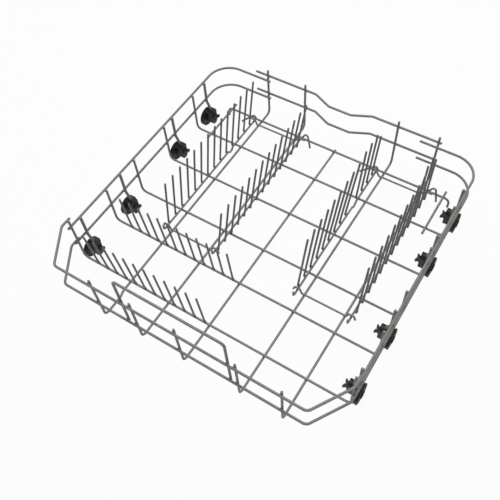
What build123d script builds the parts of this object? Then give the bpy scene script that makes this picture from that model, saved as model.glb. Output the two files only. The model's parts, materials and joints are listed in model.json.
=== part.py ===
from build123d import *
import math
import os

os.makedirs("parts", exist_ok=True)

# Wire basket of a dishwasher: welded round wire, four folding plate rows, eight wheels.
# Millimetres, +Z up, the front with the handle faces -Y, the wheel treads stand at z = 0.

# Wire sizes
FLOOR = 3.9                    # floor wires and uprights
RIM = 4.0                      # rims, rails and handle
TINE = 3.3                     # tines
LINK = 3.3                     # brackets
SHAFT = 3.5                    # turning base wires of the plate rows
STEM = 4.8                     # wheel carriers
BEND = 9.0                     # bend radius of the floor wires

# Wheels
WHEEL_R = 17.5                 # tread radius, also the height of the axle
WHEEL_W = 7.8                  # width over the tread
HUB_R = 8.4                    # hub inside the dish of each face
DISH_R = 14.6                  # outer edge of the dish
DISH = 1.0                     # depth of the dish
GROOVE = 1.2                   # depth and half width of the groove in the tread
SOFT = 0.7                     # chamfer of the tread's edges
BORE_PLAY = 0.1                # radial play of the wheel on its stub
SIDE_PLAY = 0.4                # play along the axle on each side
STUB_R = 3.8                   # stub axle of the holder
WHEEL_Y = [-160.0, -61.0, 83.0, 181.0]

# Body of the basket
SIDE_X = 247.3                 # centre plane of the side rims
END_Y = 251.6                  # centre plane of the front and rear rails
WELD_RIM = (FLOOR + RIM) / 2   # distance between a floor wire and a rim at a weld
WALL_X = SIDE_X - WELD_RIM     # uprights of the cross wires, inside the rims
WALL_Y = END_Y - WELD_RIM      # uprights of the long wires, inside the rails
FLOOR_Z = WHEEL_R - 1.5        # long wires of the floor
CROSS_Z = FLOOR_Z + FLOOR      # cross wires lie on the long wires
TIE_Z = CROSS_Z + FLOOR        # ties lie on the cross wires

# Heights of the rims and rails above the long wires
SIDE_UPPER_Z = FLOOR_Z + 82.1
SIDE_LOWER_Z = FLOOR_Z + 41.8
REAR_UPPER_Z = FLOOR_Z + 86.3
REAR_LOWER_Z = FLOOR_Z + 44.9
FRONT_UPPER_Z = FLOOR_Z + 99.3
FRONT_LOWER_Z = SIDE_LOWER_Z + RIM + 0.1
HANDLE_Z = FLOOR_Z + 153.2
SIDE_POST_RISE = 1.5           # ends of the uprights above the upper rim or rail
FIRST_POST_RISE = 2.0
FRONT_POST_RISE = 5.0
REAR_POST_RISE = 15.0

# Grid of the floor
CROSS_Y = [-181.0, -96.3, -24.2, 59.8, 145.4]
REAR_CROSS_Y = 217.9
REAR_CROSS_X = 221.6
REAR_CROSS_DROP = 18.7         # ends turned down below the floor
MIDDLE_OVERHANG = 7.0          # rear end of the middle long wire
LONG_X = [-149.7, -74.1, 2.9, 101.3, 172.2]
MIDDLE = 2                     # the long wire that ends at the rear recess
KINK = 3.0                     # side step of the first long wire near the front
KINK_START = 31.0              # its start and end in front of the first cross wire
KINK_END = 18.0

# Rims, rails and handle in plan
RIM_FRONT_Y = CROSS_Y[0] - 4.0
RIM_CORNER = 40.0
RIM_REAR_X = 143.6
RAIL_END_X = 176.0
RECESS_X = -1.0                # middle of the recess in the rear rails
RECESS_OUTER = 54.0
RECESS_INNER = 21.0
RECESS_DEPTH = 15.0
FRONT_CORNER_X = 211.0
FRONT_TURN = 12.0              # turn of a front rail's end before the first cross wire
FRONT_LAP = 6.0                # its end behind that wire
FRONT_BEND = 10.0
HANDLE_X = [-89.5, 89.7]
HANDLE_R = 7.0
HANDLE_FOOT = 6.0              # ends of the handle below the lower rail
TIE_X = 210.8
TIE_FRONT = 15.0               # ends of a tie beyond the two cross wires
TIE_REAR = 10.0
RAIL_BEND = 8.0

# Fixed tines on the two front cross wires
FIXED_COUNT = 12
FIXED_PITCH = [19.0, 18.4]
FIXED_X = [-213.6, -210.9]
FIXED_LEAN = -0.07
FIXED_TOP = FLOOR_Z + 86.5

# Folding plate rows: shaft position, side of the tines, lean, top height, first tine
SHAFT_LIFT = 0.4               # running gap above the cross wires
SHAFT_Z = CROSS_Z + (FLOOR + SHAFT) / 2 + SHAFT_LIFT
ROW_X = [-158.8, -61.8, 89.2, 182.3]
ROW_SIDE = [-1, 1, -1, 1]
ROW_COUNT = [14, 14, 9, 10]
ROW_PITCH = [19.6, 19.6, 19.65, 20.2]
ROW_LEAN = [0.134, 0.156, 0.103, 0.043]
ROW_TOP = [FLOOR_Z + 116.9, FLOOR_Z + 116.9, FLOOR_Z + 145.5, FLOOR_Z + 141.0]
ROW_Y = [-58.0, -62.0, -54.9, -51.0]

# Rows 3 and 4 have a second group of tines at the rear, lower and steeper, the last one shortest
REAR_COUNT = [0, 0, 4, 3]
REAR_Y = [0.0, 0.0, 141.7, 156.0]
REAR_LEAN = [0.0, 0.0, 0.054, 0.005]
REAR_TOP = [0.0, 0.0, FLOOR_Z + 127.7, FLOOR_Z + 133.9]
LAST_TOP = [0.0, 0.0, FLOOR_Z + 105.9, FLOOR_Z + 108.0]

# Shafts of the plate rows
TINE_OFFSET = (SHAFT + TINE) / 2
TINE_FOOT = 1.0                # length of a tine below the shaft's middle
SHAFT_FRONT_Y = -74.8
SHAFT_REAR_Y = 212.3
HOOK_RISE = 11.0
CRANK_Y = 128.0                # small crank of the first and third shaft
CRANK_DROP = 5.0

# Brackets that hold the shafts down
BRACKET_FRONT_Y = [-66.8, -62.5]
BRACKET_REAR_Y = 206.8
ARCH_TOP = SHAFT_Z + 6.0
BAR_Z = FLOOR_Z + (FLOOR + LINK) / 2

# Wheel carriers and holders, measured outwards from the middle plane
STEM_X = SIDE_X - (STEM + RIM) / 2
STEM_TOP = SIDE_UPPER_Z + 3.0
STEM_BEND_Z = SIDE_LOWER_Z - 1.0
STEM_LEAN = math.radians(24.0)
STEM_DROP = 21.8
WHEEL_MID = SIDE_X - 0.5
WHEEL_IN = WHEEL_MID - WHEEL_W / 2
WHEEL_OUT = WHEEL_MID + WHEEL_W / 2
COLLAR_X = WHEEL_IN - SIDE_PLAY
HOLDER_X = COLLAR_X - 1.0
HOLDER_W = 14.0
HOLDER_DEPTH = 13.0
HOLDER_RISE = 25.5             # top of the holder above the axle
HOLDER_FALL = 9.0              # its rounded lower end below the axle
FORK_RISE = 8.0                # fork above the axle
FORK_LENGTH = 7.0
FORK_H = 5.2


def rod(points, size, bend=0.0):
    """A round wire along straight runs, with bends of one radius or a list of radii."""
    if len(points) == 2:
        path = Line(*points)
    elif bend:
        path = FilletPolyline(*points, radius=bend)
    else:
        path = Polyline(*points)
    section = Plane(origin=path @ 0, z_dir=path % 0) * Circle(size / 2)
    return sweep(section, path=path, transition=Transition.RIGHT)


def save(name, solids):
    """One node: a single piece, or a group of like pieces."""
    group = solids if isinstance(solids, list) else [solids]
    shape = group[0] if len(group) == 1 else Compound(children=group)
    export_step(shape, "parts/" + name + ".step")


# Side rims: two on each side, each turning the rear corner to the rear uprights
for side, word in [(-1, "left"), (1, "right")]:
    for level, z in [("upper", SIDE_UPPER_Z), ("lower", SIDE_LOWER_Z)]:
        rear = WALL_Y - WELD_RIM
        run = [(side * SIDE_X, RIM_FRONT_Y, z), (side * SIDE_X, rear, z), (side * RIM_REAR_X, rear, z)]
        save(level + "_rim_" + word, rod(run, RIM, RIM_CORNER))

# Rear rails with the recess in the middle
for level, z in [("upper", REAR_UPPER_Z), ("lower", REAR_LOWER_Z)]:
    run = [(-RAIL_END_X, END_Y, z)]
    run.append((RECESS_X - RECESS_OUTER, END_Y, z))
    run.append((RECESS_X - RECESS_INNER, END_Y - RECESS_DEPTH, z))
    run.append((RECESS_X + RECESS_INNER, END_Y - RECESS_DEPTH, z))
    run.append((RECESS_X + RECESS_OUTER, END_Y, z))
    run.append((RAIL_END_X, END_Y, z))
    save("rear_rail_" + level, rod(run, RIM, RAIL_BEND))

# Front rails: straight in the middle, with slanted ends turned back along the first uprights
for level, z in [("upper", FRONT_UPPER_Z), ("lower", FRONT_LOWER_Z)]:
    right = [(FRONT_CORNER_X, -END_Y, z), (SIDE_X, CROSS_Y[0] - FRONT_TURN, z)]
    right.append((SIDE_X, CROSS_Y[0] + FRONT_LAP, z))
    left = [(-x, y, height) for x, y, height in reversed(right)]
    run = left + right
    save("front_rail_" + level, rod(run, RIM, FRONT_BEND))

# Front handle: an inverted U welded behind both front rails
handle_y = -END_Y + RIM
foot = FRONT_LOWER_Z - HANDLE_FOOT
run = [(HANDLE_X[0], handle_y, foot), (HANDLE_X[0], handle_y, HANDLE_Z)]
run += [(HANDLE_X[1], handle_y, HANDLE_Z), (HANDLE_X[1], handle_y, foot)]
save("front_handle", rod(run, RIM, HANDLE_R))

# Cross wires: floor and both side uprights in one bent wire
for number, y in enumerate(CROSS_Y):
    top = SIDE_UPPER_Z + SIDE_POST_RISE if number else FRONT_UPPER_Z + FIRST_POST_RISE
    run = [(-WALL_X, y, top), (-WALL_X, y, CROSS_Z), (WALL_X, y, CROSS_Z), (WALL_X, y, top)]
    save("cross_wire_" + str(number + 1), rod(run, FLOOR, BEND))

# Rear cross wire: both ends are turned down
low = CROSS_Z - REAR_CROSS_DROP
run = [(-REAR_CROSS_X, REAR_CROSS_Y, low), (-REAR_CROSS_X, REAR_CROSS_Y, CROSS_Z)]
run += [(REAR_CROSS_X, REAR_CROSS_Y, CROSS_Z), (REAR_CROSS_X, REAR_CROSS_Y, low)]
save("rear_cross_wire", rod(run, FLOOR, BEND))

# Long wires: front upright, floor and rear upright
for number, x in enumerate(LONG_X):
    step = KINK if number == 0 else 0.0
    run = [(x + step, -WALL_Y, FRONT_UPPER_Z + FRONT_POST_RISE), (x + step, -WALL_Y, FLOOR_Z)]
    if step:
        run += [(x + step, CROSS_Y[0] - KINK_START, FLOOR_Z), (x, CROSS_Y[0] - KINK_END, FLOOR_Z)]
    if number == MIDDLE:
        run.append((x, REAR_CROSS_Y + MIDDLE_OVERHANG, FLOOR_Z))
    else:
        run += [(x, WALL_Y, FLOOR_Z), (x, WALL_Y, REAR_UPPER_Z + REAR_POST_RISE)]
    save("long_wire_" + str(number + 1), rod(run, FLOOR, BEND))

# Short ties across the two rear cross wires
for side, word in [(-1, "left"), (1, "right")]:
    run = [(side * TIE_X, CROSS_Y[4] - TIE_FRONT, TIE_Z), (side * TIE_X, REAR_CROSS_Y + TIE_REAR, TIE_Z)]
    save("rear_tie_" + word, rod(run, FLOOR))

# Fixed tines: butt welded on the first two cross wires, leaning forward
for number, word in [(0, "first"), (1, "second")]:
    tines = []
    foot = CROSS_Z + FLOOR / 2 * math.hypot(1.0, FIXED_LEAN)
    for i in range(FIXED_COUNT):
        x = FIXED_X[number] + FIXED_PITCH[number] * i
        tip_y = CROSS_Y[number] + FIXED_LEAN * (FIXED_TOP - foot)
        tines.append(rod([(x, CROSS_Y[number], foot), (x, tip_y, FIXED_TOP)], TINE))
    save("fixed_tines_" + word, tines)

# Brackets: a bar on two long wires, with an end bent over each shaft
for first, second, word in [(0, 1, "left"), (2, 3, "right")]:
    xa = ROW_X[first]
    xb = ROW_X[second]
    y = BRACKET_FRONT_Y[first // 2]
    run = [(xa - 7.0, y, SHAFT_Z - 2.0), (xa - 4.2, y, ARCH_TOP), (xa + 4.2, y, ARCH_TOP)]
    run += [(xa + 8.0, y, BAR_Z), (xb - 8.0, y, BAR_Z)]
    run += [(xb - 4.2, y, ARCH_TOP), (xb + 4.2, y, ARCH_TOP), (xb + 7.0, y, SHAFT_Z - 2.0)]
    save("front_bracket_" + word, rod(run, LINK, 2.5))
    y = BRACKET_REAR_Y
    run = [(xa - 11.0, y, ARCH_TOP), (xa + 2.5, y, ARCH_TOP - 0.5), (xa + 7.5, y, BAR_Z)]
    run += [(xb - 7.5, y, BAR_Z), (xb - 2.5, y, ARCH_TOP - 0.5), (xb + 11.0, y, ARCH_TOP)]
    save("rear_bracket_" + word, rod(run, LINK, 2.5))

# Plate rows: a turning shaft with a front hook and a rear lever, and a comb of tines
for number, x in enumerate(ROW_X):
    name = "plate_row_" + str(number + 1)
    side = ROW_SIDE[number]
    run = [(x, SHAFT_FRONT_Y, SHAFT_Z + HOOK_RISE), (x, SHAFT_FRONT_Y, SHAFT_Z)]
    bends = [4.0]
    if side < 0:
        run += [(x, CRANK_Y - 7.0, SHAFT_Z), (x, CRANK_Y - 3.0, SHAFT_Z - CRANK_DROP)]
        run += [(x, CRANK_Y + 3.0, SHAFT_Z - CRANK_DROP), (x, CRANK_Y + 7.0, SHAFT_Z)]
        bends += [2.0, 2.0, 2.0, 2.0]
        lever = [(5.0, 18.0), (-30.0, -19.0)]
    else:
        lever = [(13.0, 21.0), (19.5, -14.0)]
    run.append((x, SHAFT_REAR_Y, SHAFT_Z))
    run += [(x + u, SHAFT_REAR_Y, SHAFT_Z + w) for u, w in lever]
    bends += [3.0, 3.5]
    save(name + "_shaft", rod(run, SHAFT, bends))
    pitch = ROW_PITCH[number]
    places = []
    for i in range(ROW_COUNT[number]):
        places.append((ROW_Y[number] + pitch * i, ROW_LEAN[number], ROW_TOP[number]))
    for i in range(REAR_COUNT[number]):
        top = LAST_TOP[number] if i == REAR_COUNT[number] - 1 else REAR_TOP[number]
        places.append((REAR_Y[number] + pitch * i, REAR_LEAN[number], top))
    tines = []
    for y, slope, top in places:
        lean = math.atan(slope)
        foot_x = x + side * TINE_OFFSET * math.cos(lean) - TINE_FOOT * math.sin(lean)
        foot_z = SHAFT_Z - side * TINE_OFFSET * math.sin(lean) - TINE_FOOT * math.cos(lean)
        tines.append(rod([(foot_x, y, foot_z), (foot_x + slope * (top - foot_z), y, top)], TINE))
    save(name + "_tines", tines)


def wheel(side, y):
    """A running wheel: grooved tread with soft edges, both faces dished round the hub."""
    half = WHEEL_W / 2
    bore = STUB_R + BORE_PLAY
    bank = 0.6
    right = [(GROOVE, WHEEL_R), (half - SOFT, WHEEL_R), (half, WHEEL_R - SOFT), (half, DISH_R)]
    right += [(half - DISH, DISH_R - bank), (half - DISH, HUB_R + bank), (half, HUB_R), (half, bore)]
    left = [(-u, r) for u, r in reversed(right)]
    face = make_face(Polyline((0.0, WHEEL_R - GROOVE), *right, *left, close=True))
    return Pos(side * WHEEL_MID, y, WHEEL_R) * revolve(face, Axis.X)


def holder(side, y):
    """Moulded holder: round-ended block on the carrier's end, headed stub axle, fork inwards."""
    inner = HOLDER_X - HOLDER_DEPTH
    round_r = HOLDER_W / 2
    top = WHEEL_R + HOLDER_RISE - round_r
    low = WHEEL_R - HOLDER_FALL + round_r
    outline = Pos(0, top) * Circle(round_r) + Pos(0, low) * Circle(round_r)
    outline += Pos(0, (top + low) / 2) * Rectangle(HOLDER_W, top - low)
    block = Pos(inner, 0, 0) * extrude(Plane.YZ * outline, HOLDER_DEPTH)
    tip = inner - FORK_LENGTH
    half = [(inner + 0.5, 5.6), (inner - 2.6, 4.6), (tip + 1.4, 7.0), (tip, 6.2), (tip + 0.9, 2.2)]
    fork = [*half, (inner - 2.8, 0.0), *[(u, -v) for u, v in reversed(half)]]
    prongs = extrude(make_face(Polyline(*fork, close=True)), FORK_H / 2, both=True)
    block += Pos(0, 0, WHEEL_R + FORK_RISE) * prongs
    across = Rot(0, 90, 0)
    stub = WHEEL_OUT + SIDE_PLAY + 0.5 - HOLDER_X
    block += Pos(HOLDER_X + stub / 2, 0, WHEEL_R) * across * Cylinder(STUB_R, stub)
    block += Pos((HOLDER_X + COLLAR_X) / 2, 0, WHEEL_R) * across * Cylinder(8.0, COLLAR_X - HOLDER_X)
    block += Pos(WHEEL_OUT + SIDE_PLAY + 0.6, 0, WHEEL_R) * across * Cylinder(6.2, 1.2)
    block -= carrier(1, 0.0)
    if side < 0:
        block = mirror(block, about=Plane.YZ)
    return Pos(0, y, 0) * block


def carrier(side, y):
    """Stout wire from the upper rim down to the holder, with a lean towards the basket."""
    end_u = STEM_X - STEM_DROP * math.sin(STEM_LEAN)
    end_z = STEM_BEND_Z - STEM_DROP * math.cos(STEM_LEAN)
    run = [(side * STEM_X, y, STEM_TOP), (side * STEM_X, y, STEM_BEND_Z), (side * end_u, y, end_z)]
    return rod(run, STEM, 8.0)


# Wheels, their holders and their carriers, four on each side
for side, word in [(-1, "left"), (1, "right")]:
    save("wheel_carriers_" + word, [carrier(side, y) for y in WHEEL_Y])
    save("wheel_holders_" + word, [holder(side, y) for y in WHEEL_Y])
    for number, y in enumerate(WHEEL_Y):
        save("wheel_" + word + "_" + str(number + 1), wheel(side, y))
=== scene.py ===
import json
import math

import bmesh
import bpy
import numpy as np
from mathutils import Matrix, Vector


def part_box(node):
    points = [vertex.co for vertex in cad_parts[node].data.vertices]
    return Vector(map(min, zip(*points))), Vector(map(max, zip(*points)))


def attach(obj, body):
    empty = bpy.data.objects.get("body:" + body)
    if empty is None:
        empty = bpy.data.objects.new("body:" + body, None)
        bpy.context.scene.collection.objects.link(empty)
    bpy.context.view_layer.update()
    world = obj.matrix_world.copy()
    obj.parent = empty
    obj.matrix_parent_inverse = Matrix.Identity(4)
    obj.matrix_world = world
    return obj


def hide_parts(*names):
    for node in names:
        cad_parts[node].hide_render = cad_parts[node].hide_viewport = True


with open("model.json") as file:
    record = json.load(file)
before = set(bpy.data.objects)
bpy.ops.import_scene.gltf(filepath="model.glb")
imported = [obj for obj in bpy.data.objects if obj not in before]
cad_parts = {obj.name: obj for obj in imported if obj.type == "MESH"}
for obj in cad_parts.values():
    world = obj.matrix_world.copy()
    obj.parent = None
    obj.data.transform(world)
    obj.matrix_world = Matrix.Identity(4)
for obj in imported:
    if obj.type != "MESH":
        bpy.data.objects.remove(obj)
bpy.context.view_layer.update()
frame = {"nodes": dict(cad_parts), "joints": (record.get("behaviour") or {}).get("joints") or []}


# Rims, rails and handle: steel wire of about 4 mm, bent to shape and welded to the uprights.
# The finished basket is dipped in grey nylon powder, which melts to a satin skin with a faint
# orange peel, a little uneven in tone where it ran thick or was rubbed by crockery.
MM = 0.001
BLACK, WHITE = (0, 0, 0, 1), (1, 1, 1, 1)


class Shade:
    """A socket of a material, so that sums on it add Math nodes."""

    def __init__(self, tree, socket=None):
        self.tree = tree
        self.socket = socket

    def node(self, kind, settings=None, inputs=None, out=0):
        made = self.tree.nodes.new(kind)
        for name, value in (settings or {}).items():
            if name == "stops":
                for stop, (place, colour) in zip(made.color_ramp.elements, value):
                    stop.position = place
                    stop.color = colour
            else:
                setattr(made, name, value)
        for name, value in (inputs or {}).items():
            if isinstance(value, Shade):
                self.tree.links.new(value.socket, made.inputs[name])
            else:
                made.inputs[name].default_value = value
        return Shade(self.tree, made.outputs[out]) if made.outputs else made

    def sum_of(self, operation, first, second):
        return self.node("ShaderNodeMath", {"operation": operation}, {0: first, 1: second})

    def __add__(self, other):
        return self.sum_of("ADD", self, other)

    def __radd__(self, other):
        return self.sum_of("ADD", other, self)

    def __sub__(self, other):
        return self.sum_of("SUBTRACT", self, other)

    def __rsub__(self, other):
        return self.sum_of("SUBTRACT", other, self)

    def __mul__(self, other):
        return self.sum_of("MULTIPLY", self, other)

    def __rmul__(self, other):
        return self.sum_of("MULTIPLY", other, self)

    def mixed(self, first, second):
        """Two colours, mixed by this value."""
        return self.node("ShaderNodeMix", {"data_type": "RGBA"}, {0: self, 6: first, 7: second}, 2)


def shade_tree(name):
    material = bpy.data.materials.new(name)
    material.use_nodes = True
    material.node_tree.nodes.clear()
    return material, Shade(material.node_tree)


def nylon_coat(name, colour, rubbed):
    """Dipped nylon: slow patches of tone, a fine orange peel and rubbed, smoother spots."""
    material, paint = shade_tree(name)
    place = paint.node("ShaderNodeTexCoord", out="Object")
    patch = paint.node("ShaderNodeTexNoise", None, {"Vector": place, "Scale": 38.0, "Detail": 3.0})
    grain = paint.node("ShaderNodeTexNoise", None, {"Vector": place, "Scale": 620.0, "Detail": 2.0})
    spots = paint.node("ShaderNodeTexNoise", None, {"Vector": place, "Scale": 150.0, "Detail": 4.0})
    rub = paint.node("ShaderNodeValToRGB", {"stops": [(0.58, BLACK), (0.74, WHITE)]}, {"Fac": spots})
    thick = [0.80 * part for part in colour]
    thin = [1.22 * part for part in colour]
    tone = (0.75 * patch + 0.25 * grain).mixed((*thick, 1), (*thin, 1))
    tone = (0.55 * rub).mixed(tone, (*rubbed, 1))
    peel = paint.node("ShaderNodeTexVoronoi", None, {"Vector": place, "Scale": 760.0})
    skin = paint.node("ShaderNodeBump", None, {"Height": 0.6 * peel + 0.4 * grain, "Strength": 0.14,
                                               "Distance": 0.15 * MM})
    coat = paint.node("ShaderNodeBsdfPrincipled", None, {
        "Base Color": tone, "Roughness": 0.50 + 0.14 * patch - 0.14 * rub, "Normal": skin,
        "Coat Weight": 0.10, "Coat Roughness": 0.35})
    paint.node("ShaderNodeOutputMaterial", None, {"Surface": coat})
    return material


def dress(material, *nodes):
    for node in nodes:
        mesh = frame["nodes"][node].data
        mesh.materials.clear()
        mesh.materials.append(material)


SIDES = ("left", "right")
LEVELS = ("upper", "lower")
side_rims = [f"{level}_rim_{side}" for level in LEVELS for side in SIDES]
front_rails = [f"front_rail_{level}" for level in LEVELS]
rear_rails = [f"rear_rail_{level}" for level in LEVELS]
rim_coat = nylon_coat("rim_nylon", (0.190, 0.188, 0.177), (0.29, 0.288, 0.274))
rim_nodes = [*side_rims, *front_rails, *rear_rails, "front_handle"]
dress(rim_coat, *rim_nodes)


# Rounded wire ends: every cut end of a wire carries a drop of coating, which sets as a low dome.
# The ends are the flat round faces of the wires themselves, found on each wire's mesh.
DOME = 0.55                    # height of a dome against its radius
DOME_SEGMENTS = 14
SLIVER = 1e-12                 # triangles of less area have no sure facing
END_FACES = 8                  # a cut end has at least so many triangles
END_REACH = 8 * MM             # and none of them lies further from another
SAME_WAY = 0.002               # they face one way and lie at one depth
SAME_DEPTH = 0.05 * MM
THINNEST = 1.4 * MM            # smallest radius of a wire
ROUND = 1.15                   # rim of a round face against the radius that its area gives


def triangles_of(node):
    mesh = frame["nodes"][node].data
    mesh.calc_loop_triangles()
    points = np.empty(len(mesh.vertices) * 3)
    mesh.vertices.foreach_get("co", points)
    corners = np.empty(len(mesh.loop_triangles) * 3, int)
    mesh.loop_triangles.foreach_get("vertices", corners)
    return points.reshape(-1, 3)[corners].reshape(-1, 3, 3)


def wire_ends(node):
    """Middle, outward direction and radius of every cut end of a wire."""
    corner = triangles_of(node)
    across = np.cross(corner[:, 1] - corner[:, 0], corner[:, 2] - corner[:, 0])
    area = np.linalg.norm(across, axis=1) / 2
    solid = area > SLIVER
    corner, across, area = corner[solid], across[solid], area[solid]
    facing = across / (2 * area[:, None])
    depth = (facing * corner[:, 0]).sum(1)
    plane = np.round(np.c_[facing * 100, depth * 5000])
    centre = corner.mean(1)
    ends = []
    for seed in np.unique(plane, axis=0, return_index=True)[1]:
        flat = np.abs(facing - facing[seed]).max(1) < SAME_WAY
        left = np.flatnonzero(flat & (np.abs(depth - depth[seed]) < SAME_DEPTH))
        while len(left) >= END_FACES:
            near = np.abs(centre[left] - centre[left[0]]).max(1) < END_REACH
            disc = left[near]
            left = left[~near]
            spot = (centre[disc] * area[disc, None]).sum(0) / area[disc].sum()
            radius = math.sqrt(area[disc].sum() / math.pi)
            edge = np.linalg.norm(corner[disc] - spot, axis=2).max()
            known = any((Vector(spot) - other[0]).length < THINNEST for other in ends)
            if radius > THINNEST and edge < ROUND * radius and not known:
                ends.append((Vector(spot), Vector(facing[seed]), radius))
    return ends


def bead_tree():
    """A flattened ball on every point, along its facing and as wide as its radius."""
    tree = bpy.data.node_groups.new("coating_beads", "GeometryNodeTree")
    door = tree.interface
    door.new_socket("Geometry", in_out="INPUT", socket_type="NodeSocketGeometry")
    door.new_socket("Height", in_out="INPUT", socket_type="NodeSocketFloat")
    door.new_socket("Segments", in_out="INPUT", socket_type="NodeSocketInt")
    door.new_socket("Finish", in_out="INPUT", socket_type="NodeSocketMaterial")
    door.new_socket("Geometry", in_out="OUTPUT", socket_type="NodeSocketGeometry")
    new = tree.nodes.new
    link = tree.links.new
    given = new("NodeGroupInput")
    ball = new("GeometryNodeMeshUVSphere")
    squash = new("ShaderNodeCombineXYZ")
    flat = new("GeometryNodeTransform")
    width = new("GeometryNodeInputNamedAttribute")
    facing = new("GeometryNodeInputNamedAttribute")
    turn = new("FunctionNodeAlignRotationToVector")
    placed = new("GeometryNodeInstanceOnPoints")
    real = new("GeometryNodeRealizeInstances")
    smooth = new("GeometryNodeSetShadeSmooth")
    finish = new("GeometryNodeSetMaterial")
    result = new("NodeGroupOutput")
    ball.inputs["Radius"].default_value = 1.0
    squash.inputs["X"].default_value = squash.inputs["Y"].default_value = 1.0
    width.data_type = "FLOAT"
    width.inputs["Name"].default_value = "width"
    facing.data_type = "FLOAT_VECTOR"
    facing.inputs["Name"].default_value = "facing"
    turn.axis = "Z"
    link(given.outputs["Segments"], ball.inputs["Segments"])
    link(given.outputs["Segments"], ball.inputs["Rings"])
    link(given.outputs["Height"], squash.inputs["Z"])
    link(ball.outputs["Mesh"], flat.inputs["Geometry"])
    link(squash.outputs[0], flat.inputs["Scale"])
    link(given.outputs["Geometry"], placed.inputs["Points"])
    link(flat.outputs["Geometry"], placed.inputs["Instance"])
    link(facing.outputs["Attribute"], turn.inputs["Vector"])
    link(turn.outputs["Rotation"], placed.inputs["Rotation"])
    link(width.outputs["Attribute"], placed.inputs["Scale"])
    link(placed.outputs["Instances"], real.inputs["Geometry"])
    link(real.outputs["Geometry"], smooth.inputs["Geometry"])
    link(smooth.outputs[0], finish.inputs["Geometry"])
    link(given.outputs["Finish"], finish.inputs["Material"])
    link(finish.outputs["Geometry"], result.inputs["Geometry"])
    return tree


def made_real(name, mesh, tree, **values):
    """Runs a node tree on a mesh and keeps the result as a plain mesh."""
    rough = bpy.data.objects.new(name, mesh)
    bpy.context.scene.collection.objects.link(rough)
    work = rough.modifiers.new("make", "NODES")
    work.node_group = tree
    for item in tree.interface.items_tree:
        if item.in_out == "INPUT" and item.name in values:
            work[item.identifier] = values[item.name]
    seen = rough.evaluated_get(bpy.context.evaluated_depsgraph_get())
    plain = bpy.data.meshes.new_from_object(seen)
    rough.modifiers.remove(work)
    rough.data = plain
    return rough


def beads(name, spots, height, segments, finish, body):
    mesh = bpy.data.meshes.new(name)
    mesh.from_pydata([spot for spot, facing, width in spots], [], [])
    width = mesh.attributes.new("width", "FLOAT", "POINT")
    width.data.foreach_set("value", [wide for spot, facing, wide in spots])
    facing = mesh.attributes.new("facing", "FLOAT_VECTOR", "POINT")
    facing.data.foreach_set("vector", [part for spot, way, wide in spots for part in way])
    piece = made_real(name, mesh, beads_tree, Height=height, Segments=segments, Finish=finish)
    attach(piece, body)


beads_tree = bead_tree()
rim_ends = [end for node in rim_nodes for end in wire_ends(node)]
beads("rim_end_domes", rim_ends, DOME, DOME_SEGMENTS, rim_coat, "frame")


# Floor and wall wires: 4 mm wire bent to a U, cross wires lying on long wires, both turned up
# into the walls. Two short ties join the rear pair of cross wires at the corners.
cross_wires = [f"cross_wire_{number}" for number in range(1, 6)]
long_wires = [f"long_wire_{number}" for number in range(1, 6)]
ties = [f"rear_tie_{side}" for side in SIDES]
grid_coat = nylon_coat("grid_nylon", (0.200, 0.198, 0.186), (0.30, 0.298, 0.283))
grid_nodes = [*cross_wires, "rear_cross_wire", *long_wires, *ties]
dress(grid_coat, *grid_nodes)
grid_ends = [end for node in grid_nodes for end in wire_ends(node)]
beads("grid_end_domes", grid_ends, DOME, DOME_SEGMENTS, grid_coat, "frame")


# Welds of the body: wherever two wires cross they are spot welded, and the coating fills the
# corner round the weld with a small swelling.
UP, ACROSS, ALONG = Vector((0, 0, 1)), Vector((1, 0, 0)), Vector((0, 1, 0))
WELD_HEIGHT = 0.62             # height of a swelling against its radius
WELD_SEGMENTS = 16
WELD_SPREAD = 1.32             # swelling against the wire, at a floor wire and at a rim
RIM_WELD_SPREAD = 1.15
tie_low, tie_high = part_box(ties[0])
wire_r = (tie_high.z - tie_low.z) / 2
handle_low, handle_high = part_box("front_handle")
rim_r = (handle_high.y - handle_low.y) / 2
weld_r = WELD_SPREAD * wire_r
rim_weld_r = RIM_WELD_SPREAD * rim_r


def middle(node):
    low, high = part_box(node)
    return (low + high) / 2


floor_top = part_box(long_wires[1])[0].z + 2 * wire_r
long_x = [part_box(node)[0].x + wire_r for node in long_wires]
long_front_x = [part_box(node)[1].x - wire_r for node in long_wires]
cross_y = [middle(node).y for node in [*cross_wires, "rear_cross_wire"]]
wall_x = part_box(cross_wires[0])[1].x
front_y, rear_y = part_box(long_wires[0])[0].y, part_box(long_wires[0])[1].y
side_rim_z = [middle(f"{level}_rim_left").z for level in LEVELS]
front_rail_z = [middle(node).z for node in front_rails]
rear_rail_z = [middle(node).z for node in rear_rails]
welds = [(Vector((x, y, floor_top)), UP, weld_r) for x in long_x for y in cross_y]
for tie in ties:
    welds += [(Vector((middle(tie).x, y, tie_low.z)), UP, weld_r) for y in cross_y[-2:]]
for y in cross_y[:-1]:
    welds += [(Vector((way * wall_x, y, z)), ACROSS, weld_r) for way in (-1, 1) for z in side_rim_z]
for z in front_rail_z:
    welds += [(Vector((way * wall_x, cross_y[0], z)), ACROSS, weld_r) for way in (-1, 1)]
for x in long_front_x:
    welds += [(Vector((x, front_y, z)), ALONG, weld_r) for z in front_rail_z]
rim_end = min(-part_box("upper_rim_left")[1].x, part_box("upper_rim_right")[0].x)
for node, x in zip(long_wires, long_x):
    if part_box(node)[1].y < rear_y - wire_r:
        continue
    welds += [(Vector((x, rear_y, z)), ALONG, weld_r) for z in rear_rail_z]
    if abs(x) > rim_end:
        welds += [(Vector((x, rear_y - 2 * wire_r, z)), ALONG, weld_r) for z in side_rim_z]
for x in (handle_low.x + rim_r, handle_high.x - rim_r):
    welds += [(Vector((x, handle_low.y, z)), ALONG, rim_weld_r) for z in front_rail_z]
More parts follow.
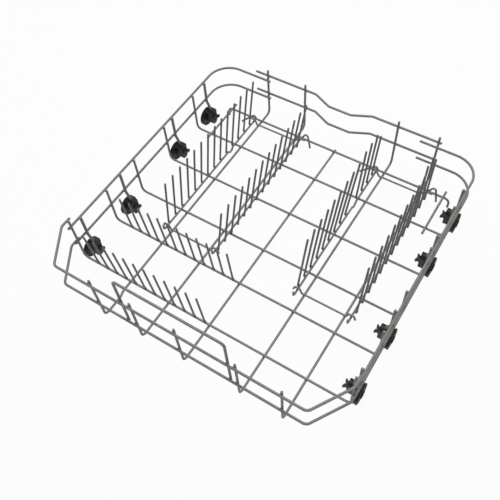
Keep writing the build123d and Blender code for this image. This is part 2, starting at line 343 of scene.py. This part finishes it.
beads("body_welds", welds, WELD_HEIGHT, WELD_SEGMENTS, grid_coat, "frame")


# Fixed tines: straight 3 mm pins, butt welded on the first two cross wires at the left front and
# leaning a little forward, to hold cups. Their feet sit in a collar of coating.
fixed_tines = ["fixed_tines_first", "fixed_tines_second"]
# The tines have the same grey nylon as the grid, but painted about a third darker: this is painted
# shade for upright pins under overhead light.
shaded_tine_coat = nylon_coat("tine_nylon_painted_shade", (0.135, 0.133, 0.124), (0.22, 0.218, 0.206))
dress(shaded_tine_coat, *fixed_tines)
pin_ends = [end for node in fixed_tines for end in wire_ends(node)]
pin_tips = [end for end in pin_ends if end[1].z > 0]
pin_feet = [(spot, way, weld_r) for spot, way, radius in pin_ends if way.z < 0]
beads("fixed_tine_tips", pin_tips, DOME, DOME_SEGMENTS, shaded_tine_coat, "frame")
beads("fixed_tine_feet", pin_feet, WELD_HEIGHT, WELD_SEGMENTS, shaded_tine_coat, "frame")


# Brackets: short bars of the same wire, welded on the long wires, with ends bent over the shafts
# so that the plate rows can turn but not lift out.
brackets = [f"{end}_bracket_{side}" for end in ("front", "rear") for side in SIDES]
dress(grid_coat, *brackets)
bracket_ends = [end for node in brackets for end in wire_ends(node)]
beads("bracket_end_domes", bracket_ends, DOME, DOME_SEGMENTS, grid_coat, "frame")
bracket_welds = []
ARCH = 5 * wire_r              # bent end of a bracket, which reaches over a shaft
for node in brackets:
    low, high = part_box(node)
    bracket_welds += [(Vector((x, (low.y + high.y) / 2, floor_top)), UP, weld_r)
                      for x in long_x if low.x + ARCH < x < high.x - ARCH]
beads("bracket_welds", bracket_welds, WELD_HEIGHT, WELD_SEGMENTS, grid_coat, "frame")


# Plate rows: a shaft with a hook in front and a lever behind, and a comb of tines welded along
# its side. The whole comb folds flat; each tine has a rounded tip and a weld at the shaft.
PLATE_ROWS = 4
for joint in frame["joints"][:PLATE_ROWS]:
    body = joint["child"]
    shaft, tines = f"{body}_shaft", f"{body}_tines"
    dress(grid_coat, shaft)
    dress(shaded_tine_coat, tines)
    axle = Vector(joint["pos_m"])
    tine_ends = wire_ends(tines)
    beads(f"{body}_tine_ends", tine_ends, DOME, DOME_SEGMENTS, shaded_tine_coat, body)
    beads(f"{body}_shaft_ends", wire_ends(shaft), DOME, DOME_SEGMENTS, grid_coat, body)
    tine_welds = []
    for spot, way, radius in tine_ends:
        if way.z > 0:
            continue
        centre = Vector((axle.x, spot.y, axle.z))
        nearest = spot + way * (centre - spot).dot(way)
        gap = nearest - centre
        tine_welds.append((centre + gap * (gap.length - radius) / gap.length, gap.normalized(), weld_r))
    beads(f"{body}_welds", tine_welds, WELD_HEIGHT, WELD_SEGMENTS, shaded_tine_coat, body)


# Wheel carriers: stout wires welded inside both side rims, one above each wheel, bent a little
# towards the basket and pushed into the holder below.
carriers = [f"wheel_carriers_{side}" for side in SIDES]
dress(rim_coat, *carriers)
carrier_ends = [end for node in carriers for end in wire_ends(node) if end[1].z > 0]
beads("carrier_end_domes", carrier_ends, DOME, DOME_SEGMENTS, rim_coat, "frame")
carrier_welds = []
for side, way in (("left", 1), ("right", -1)):
    rim_low, rim_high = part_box(f"upper_rim_{side}")
    plane = rim_low.x + 2 * rim_r if way > 0 else rim_high.x - 2 * rim_r
    for number in range(1, 5):
        y = middle(f"wheel_{side}_{number}").y
        carrier_welds += [(Vector((plane, y, z)), ACROSS, rim_weld_r) for z in side_rim_z]
beads("carrier_welds", carrier_welds, WELD_HEIGHT, WELD_SEGMENTS, rim_coat, "frame")


# Wheel holders: dark moulded plastic, a block that clips on the carrier's end with a stub axle
# outside and two prongs inside. Moulded edges are soft, and the faces have a fine spark grain.
def moulded(name, colour, scuffed, rough):
    material, paint = shade_tree(name)
    place = paint.node("ShaderNodeTexCoord", out="Object")
    flow = paint.node("ShaderNodeTexNoise", None, {"Vector": place, "Scale": 85.0, "Detail": 3.0})
    grain = paint.node("ShaderNodeTexNoise", None, {"Vector": place, "Scale": 2100.0, "Detail": 2.0})
    marks = paint.node("ShaderNodeTexNoise", None, {"Vector": place, "Scale": 310.0, "Detail": 6.0})
    scuff = paint.node("ShaderNodeValToRGB", {"stops": [(0.56, BLACK), (0.72, WHITE)]}, {"Fac": marks})
    dark = [0.75 * part for part in colour]
    light = [1.30 * part for part in colour]
    tone = (0.35 * scuff).mixed(flow.mixed((*dark, 1), (*light, 1)), (*scuffed, 1))
    skin = paint.node("ShaderNodeBump", None, {"Height": grain, "Strength": 0.22,
                                               "Distance": 0.06 * MM})
    plastic = paint.node("ShaderNodeBsdfPrincipled", None, {
        "Base Color": tone, "Roughness": rough + 0.10 * flow + 0.10 * scuff, "Normal": skin,
        "Specular IOR Level": 0.28})
    paint.node("ShaderNodeOutputMaterial", None, {"Surface": plastic})
    return material


HOLDER_EDGE = 0.35 * MM
SAME_POINT = 0.002 * MM
FLAT = math.radians(1)
MOULDED_EDGE = math.radians(38)
CREASE = math.radians(40)


def softened(name, node, width, finish):
    """The solid's own shape with its sharp moulded edges rounded."""
    mesh = frame["nodes"][node].data.copy()
    work = bmesh.new()
    work.from_mesh(mesh)
    bmesh.ops.remove_doubles(work, verts=work.verts, dist=SAME_POINT)
    bmesh.ops.dissolve_limit(work, angle_limit=FLAT, verts=work.verts, edges=work.edges)
    work.to_mesh(mesh)
    work.free()
    rough = bpy.data.objects.new(name, mesh)
    bpy.context.scene.collection.objects.link(rough)
    edge = rough.modifiers.new("soften", "BEVEL")
    edge.width = width
    edge.segments = 2
    edge.limit_method = "ANGLE"
    edge.angle_limit = MOULDED_EDGE
    seen = rough.evaluated_get(bpy.context.evaluated_depsgraph_get())
    plain = bpy.data.meshes.new_from_object(seen)
    rough.modifiers.remove(edge)
    rough.data = plain
    plain.materials.clear()
    plain.materials.append(finish)
    plain.polygons.foreach_set("use_smooth", [True] * len(plain.polygons))
    plain.set_sharp_from_angle(angle=CREASE)
    return rough


holder_plastic = moulded("holder_moulding", (0.0135, 0.0115, 0.0108), (0.032, 0.028, 0.026), 0.44)
for side in SIDES:
    holders = softened(f"holders_{side}", f"wheel_holders_{side}", HOLDER_EDGE, holder_plastic)
    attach(holders, "frame")
    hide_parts(f"wheel_holders_{side}")


# Wheels: black moulded discs that turn on the stub axles, with a groove round the tread, softened
# edges, and both faces dished between hub and tread so that the moulding cools evenly.
WHEEL_EDGE = 0.3 * MM
wheel_plastic = moulded("wheel_moulding", (0.0110, 0.0100, 0.0095), (0.025, 0.023, 0.022), 0.46)
for side in SIDES:
    for number in range(1, 5):
        node = f"wheel_{side}_{number}"
        disc = softened(f"{node}_disc", node, WHEEL_EDGE, wheel_plastic)
        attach(disc, node)
        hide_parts(node)


# Studio: a white sweep under a large overhead softbox with a weak fill, as in a product picture.
# To the eye and in reflections the floor is white; it still takes a faint shadow.
FLOOR_SIZE = 12.0
SHADOW = 0.05
floor_mesh = bpy.data.meshes.new("studio_floor")
edge = FLOOR_SIZE / 2
corners = [(-edge, -edge, 0), (edge, -edge, 0), (edge, edge, 0), (-edge, edge, 0)]
floor_mesh.from_pydata(corners, [], [(0, 1, 2, 3)])
studio_floor = bpy.data.objects.new("studio_floor", floor_mesh)
studio_floor.location.z = -0.2 * MM
bpy.context.scene.collection.objects.link(studio_floor)
paper, paint = shade_tree("studio_paper")
path = paint.node("ShaderNodeLightPath")
seen = path
for ray in ("Is Glossy Ray", "Is Transmission Ray"):
    seen = seen + Shade(paint.tree, path.socket.node.outputs[ray])
matt = paint.node("ShaderNodeBsdfDiffuse", None, {"Color": (0.60, 0.60, 0.60, 1)})
white = paint.node("ShaderNodeEmission", None, {"Color": WHITE, "Strength": 1.0})
sweep = paint.node("ShaderNodeMixShader", None, {0: (1 - SHADOW) * seen, 1: matt, 2: white})
paint.node("ShaderNodeOutputMaterial", None, {"Surface": sweep})
floor_mesh.materials.append(paper)

room = bpy.data.worlds.new("studio_room")
room.use_nodes = True
room.node_tree.nodes.clear()
sky = Shade(room.node_tree)
path = sky.node("ShaderNodeLightPath")
fill = sky.node("ShaderNodeBackground", None, {"Color": WHITE, "Strength": 0.27})
back = sky.node("ShaderNodeBackground", None, {"Color": WHITE, "Strength": 1.0})
both = sky.node("ShaderNodeMixShader", None, {0: path, 1: fill, 2: back})
sky.node("ShaderNodeOutputWorld", None, {"Surface": both})
bpy.context.scene.world = room

lamps = [("softbox", (-0.3, 0.5, 2.3), 2.2, 57.0),
         ("side_fill", (1.9, -1.6, 1.3), 1.4, 4.0)]
for name, place, size, power in lamps:
    lamp = bpy.data.lights.new(name, "AREA")
    lamp.size = size
    lamp.energy = power
    light = bpy.data.objects.new(name, lamp)
    light.location = place
    light.rotation_euler = (-Vector(place)).to_track_quat("-Z", "Y").to_euler()
    bpy.context.scene.collection.objects.link(light)


# Camera: high above the right front corner and looking down on the floor of the basket, a little
# turned about its own axis, so that the basket fills the square frame from corner to corner.
lens = bpy.data.cameras.new("view")
lens.lens = 46.678
lens.sensor_width = 36.0
camera = bpy.data.objects.new("view", lens)
camera.location = (0.32907, -0.49511, 0.90470)
camera.rotation_euler = [math.radians(turn) for turn in (32.869, 3.000, 32.174)]
bpy.context.scene.collection.objects.link(camera)
bpy.context.scene.camera = camera
bpy.context.scene.view_settings.view_transform = "Standard"
